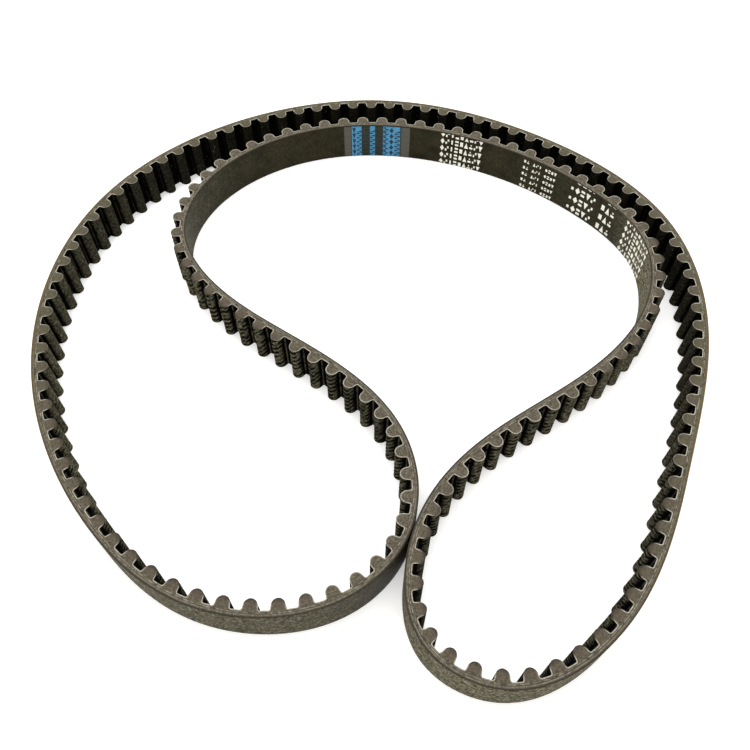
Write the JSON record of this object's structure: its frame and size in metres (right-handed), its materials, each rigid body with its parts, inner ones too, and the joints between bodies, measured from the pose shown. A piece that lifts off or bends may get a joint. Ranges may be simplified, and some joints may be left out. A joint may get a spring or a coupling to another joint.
{
  "type": "timing belt",
  "caption": "Endless toothed drive belt with rounded teeth and a smooth back, standing on its edge in a loose heart-shaped lay that flexes open.",
  "frame": {"origin": "centre of the belt's footprint, on the surface that its lower cut edge stands on", "axes": "+Z across the belt's width, from the edge it stands on to the upper edge; +Y from the two lobes to the far arc; +X to the right, from the large lobe to the small lobe"},
  "size_m": [0.3242, 0.3334, 0.022],
  "materials": {
    "backing_rubber": "matte, smooth ground back with light scuffs",
    "cord_ply": "cut ends of light tensile cord on the pitch line",
    "tooth_rubber": "matte, cut edge",
    "tooth_facing": "matte woven facing with pits and diagonal ribs",
    "label_film": "thin satin transfer film"
  },
  "bodies": {
    "outer_arc_middle": {"outer_arc_middle_backing": "backing_rubber", "outer_arc_middle_cord_ply": "cord_ply", "outer_arc_middle_tooth_rubber": "tooth_rubber", "outer_arc_middle_facing": "tooth_facing"},
    "outer_arc_left": {"outer_arc_left_backing": "backing_rubber", "outer_arc_left_cord_ply": "cord_ply", "outer_arc_left_tooth_rubber": "tooth_rubber", "outer_arc_left_facing": "tooth_facing"},
    "left_side": {"left_side_backing": "backing_rubber", "left_side_cord_ply": "cord_ply", "left_side_tooth_rubber": "tooth_rubber", "left_side_facing": "tooth_facing"},
    "left_lobe_front": {"left_lobe_front_backing": "backing_rubber", "left_lobe_front_cord_ply": "cord_ply", "left_lobe_front_tooth_rubber": "tooth_rubber", "left_lobe_front_facing": "tooth_facing"},
    "left_lobe_inner": {"left_lobe_inner_backing": "backing_rubber", "left_lobe_inner_cord_ply": "cord_ply", "left_lobe_inner_tooth_rubber": "tooth_rubber", "left_lobe_inner_facing": "tooth_facing"},
    "left_return": {"left_return_backing": "backing_rubber", "left_return_cord_ply": "cord_ply", "left_return_tooth_rubber": "tooth_rubber", "left_return_facing": "tooth_facing"},
    "inner_arc_left": {"inner_arc_left_backing": "backing_rubber", "inner_arc_left_cord_ply": "cord_ply", "inner_arc_left_tooth_rubber": "tooth_rubber", "inner_arc_left_facing": "tooth_facing"},
    "outer_arc_right": {"outer_arc_right_backing": "backing_rubber", "outer_arc_right_cord_ply": "cord_ply", "outer_arc_right_tooth_rubber": "tooth_rubber", "outer_arc_right_facing": "tooth_facing"},
    "right_side": {"right_side_backing": "backing_rubber", "right_side_cord_ply": "cord_ply", "right_side_tooth_rubber": "tooth_rubber", "right_side_facing": "tooth_facing"},
    "right_lobe_outer": {"right_lobe_outer_backing": "backing_rubber", "right_lobe_outer_cord_ply": "cord_ply", "right_lobe_outer_tooth_rubber": "tooth_rubber", "right_lobe_outer_facing": "tooth_facing"},
    "right_lobe_front": {"right_lobe_front_backing": "backing_rubber", "right_lobe_front_cord_ply": "cord_ply", "right_lobe_front_tooth_rubber": "tooth_rubber", "right_lobe_front_facing": "tooth_facing"},
    "right_return": {"right_return_backing": "backing_rubber", "right_return_cord_ply": "cord_ply", "right_return_tooth_rubber": "tooth_rubber", "right_return_facing": "tooth_facing"},
    "inner_turn_right": {"inner_turn_right_backing": "backing_rubber", "inner_turn_right_cord_ply": "cord_ply", "inner_turn_right_tooth_rubber": "tooth_rubber", "inner_turn_right_facing": "tooth_facing"},
    "inner_arc_right": {"inner_arc_right_backing": "backing_rubber", "inner_arc_right_cord_ply": "cord_ply", "inner_arc_right_tooth_rubber": "tooth_rubber", "inner_arc_right_facing": "tooth_facing", "transfer_label": "label_film"}
  },
  "joints": [
    {"name": "left_lobe_spread", "type": "hinge", "parent": "outer_arc_middle", "child": "outer_arc_left", "pos_m": [-0.09089, 0.13826, 0.011], "axis": [0, 0, -1], "range_deg": [0, 10], "stiffness_Nm_per_rad": 0.3},
    {"name": "flex_left_side", "type": "hinge", "parent": "outer_arc_left", "child": "left_side", "pos_m": [-0.15946, 0.03109, 0.011], "axis": [0, 0, -1], "range_deg": [-10.9, 0.5]},
    {"name": "flex_left_lobe_front", "type": "hinge", "parent": "left_side", "child": "left_lobe_front", "pos_m": [-0.12291, -0.0925, 0.011], "axis": [0, 0, -1], "range_deg": [-0.5, 9.6]},
    {"name": "flex_left_lobe_inner", "type": "hinge", "parent": "left_lobe_front", "child": "left_lobe_inner", "pos_m": [-0.00883, -0.13165, 0.011], "axis": [0, 0, -1], "range_deg": [-0.5, 2.9]},
    {"name": "flex_left_return", "type": "hinge", "parent": "left_lobe_inner", "child": "left_return", "pos_m": [-0.02146, -0.02328, 0.011], "axis": [0, 0, -1], "range_deg": [-9.7, 0.5]},
    {"name": "flex_inner_arc_left", "type": "hinge", "parent": "left_return", "child": "inner_arc_left", "pos_m": [-0.1007, 0.06278, 0.011], "axis": [0, 0, -1], "range_deg": [-2.3, 0.5]},
    {"name": "right_lobe_spread", "type": "hinge", "parent": "outer_arc_middle", "child": "outer_arc_right", "pos_m": [0.03558, 0.15994, 0.011], "axis": [0, 0, 1], "range_deg": [0, 8], "stiffness_Nm_per_rad": 0.3},
    {"name": "flex_right_side", "type": "hinge", "parent": "outer_arc_right", "child": "right_side", "pos_m": [0.14288, 0.08741, 0.011], "axis": [0, 0, 1], "range_deg": [-8.1, 0.5]},
    {"name": "flex_right_lobe_outer", "type": "hinge", "parent": "right_side", "child": "right_lobe_outer", "pos_m": [0.1471, -0.03953, 0.011], "axis": [0, 0, 1], "range_deg": [-0.5, 5.6]},
    {"name": "flex_right_lobe_front", "type": "hinge", "parent": "right_lobe_outer", "child": "right_lobe_front", "pos_m": [0.08278, -0.1528, 0.011], "axis": [0, 0, 1], "range_deg": [-0.5, 3.6]},
    {"name": "flex_right_return", "type": "hinge", "parent": "right_lobe_front", "child": "right_return", "pos_m": [0.02536, -0.09127, 0.011], "axis": [0, 0, 1], "range_deg": [-7.9, 0.5]},
    {"name": "flex_inner_turn_right", "type": "hinge", "parent": "right_return", "child": "inner_turn_right", "pos_m": [0.12411, -0.00508, 0.011], "axis": [0, 0, 1], "range_deg": [-0.5, 4.7]},
    {"name": "flex_inner_arc_right", "type": "hinge", "parent": "inner_turn_right", "child": "inner_arc_right", "pos_m": [0.1, 0.10818, 0.011], "axis": [0, 0, 1], "range_deg": [-6, 0.5]}
  ],
  "couplings": [
    {"joint": "flex_left_side", "follows": "left_lobe_spread", "ratio": -1.042},
    {"joint": "flex_left_lobe_front", "follows": "left_lobe_spread", "ratio": 0.907},
    {"joint": "flex_left_lobe_inner", "follows": "left_lobe_spread", "ratio": 0.243},
    {"joint": "flex_left_return", "follows": "left_lobe_spread", "ratio": -0.924},
    {"joint": "flex_inner_arc_left", "follows": "left_lobe_spread", "ratio": -0.183},
    {"joint": "flex_right_side", "follows": "right_lobe_spread", "ratio": -0.948},
    {"joint": "flex_right_lobe_outer", "follows": "right_lobe_spread", "ratio": 0.643},
    {"joint": "flex_right_lobe_front", "follows": "right_lobe_spread", "ratio": 0.386},
    {"joint": "flex_right_return", "follows": "right_lobe_spread", "ratio": -0.921},
    {"joint": "flex_inner_turn_right", "follows": "right_lobe_spread", "ratio": 0.525},
    {"joint": "flex_inner_arc_right", "follows": "right_lobe_spread", "ratio": -0.685}
  ]
}
